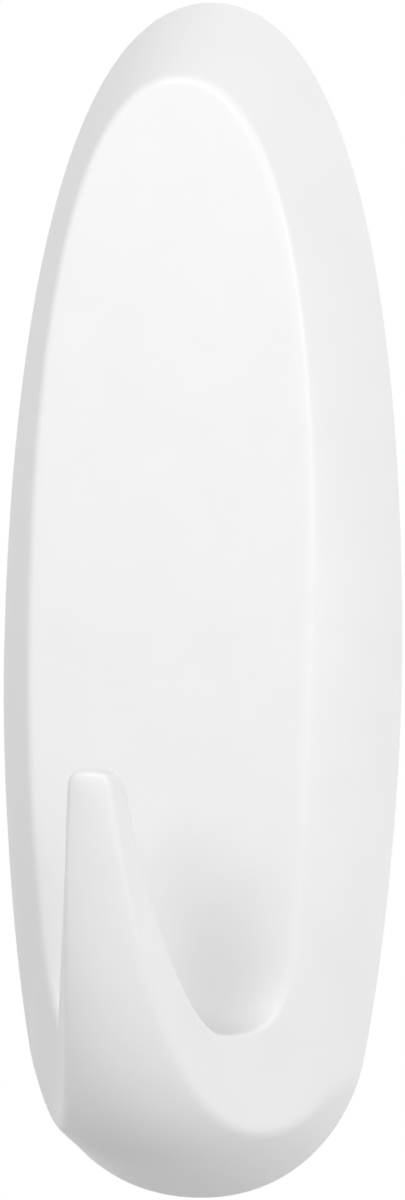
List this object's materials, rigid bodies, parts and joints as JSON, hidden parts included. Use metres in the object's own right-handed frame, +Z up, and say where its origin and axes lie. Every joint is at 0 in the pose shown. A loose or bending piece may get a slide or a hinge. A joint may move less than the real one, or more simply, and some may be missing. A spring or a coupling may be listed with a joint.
{
  "type": "adhesive wall hook",
  "caption": "White moulded oval wall hook; its cover slides down onto a base plate held to the wall by a stretch-release adhesive strip with a pull tab.",
  "frame": {"origin": "on the wall, at the adhesive face, level with half the cover's height and midway across it", "axes": "+Z up along the wall and the cover's length, +Y into the wall, so the hook's front faces -Y"},
  "size_m": [0.038, 0.0252, 0.105],
  "materials": {
    "cover_plastic": "satin",
    "base_plastic": "matte",
    "foam": "matte",
    "film": "satin",
    "adhesive": "gloss",
    "tab_paper": "matte"
  },
  "bodies": {
    "base": {"mounting_base": "base_plastic", "strip_foam_core": "foam", "strip_wall_film": "film", "strip_base_film": "film", "strip_wall_adhesive": "adhesive", "strip_base_adhesive": "adhesive", "tab_wall_cover": "tab_paper", "tab_base_cover": "tab_paper"},
    "cover": {"hook_cover": "cover_plastic"}
  },
  "joints": [
    {"name": "cover_slide", "type": "slide", "parent": "base", "child": "cover", "axis": [0, 0, 1], "range_m": [0, 0.009]}
  ]
}
